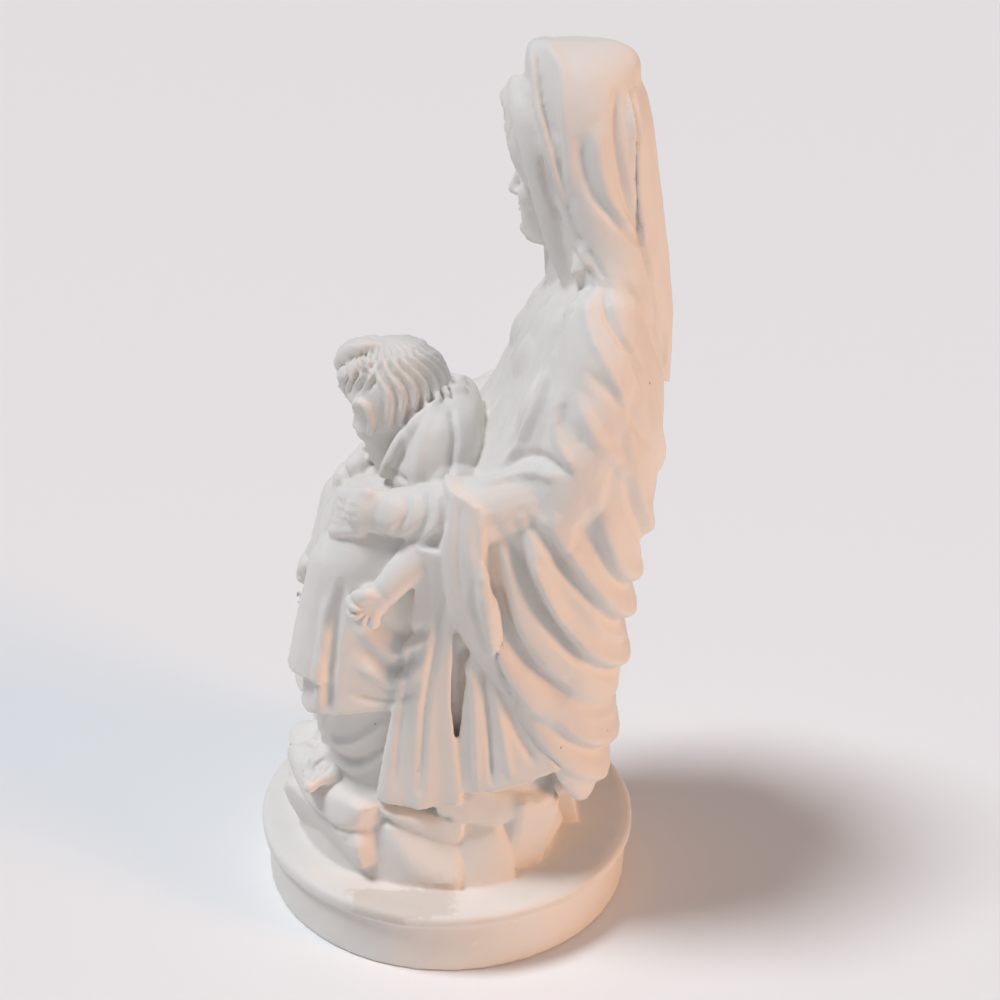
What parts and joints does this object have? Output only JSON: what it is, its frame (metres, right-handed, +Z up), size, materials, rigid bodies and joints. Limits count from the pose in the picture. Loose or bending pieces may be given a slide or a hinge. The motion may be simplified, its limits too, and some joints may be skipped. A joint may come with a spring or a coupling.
{
  "type": "virgin and child statuette",
  "caption": "Small white statuette of a seated, veiled woman holding a child on her lap, cast in one with its rocks and round plinth.",
  "frame": {"origin": "centre of the round plinth's flat underside", "axes": "+Z up from the plinth to the head, the woman faces -Y, +X is her left"},
  "size_m": [0.11, 0.1156, 0.2408],
  "materials": {
    "statue": "matt white cast resin"
  },
  "bodies": {
    "root": {"statue": "statue"}
  },
  "joints": []
}
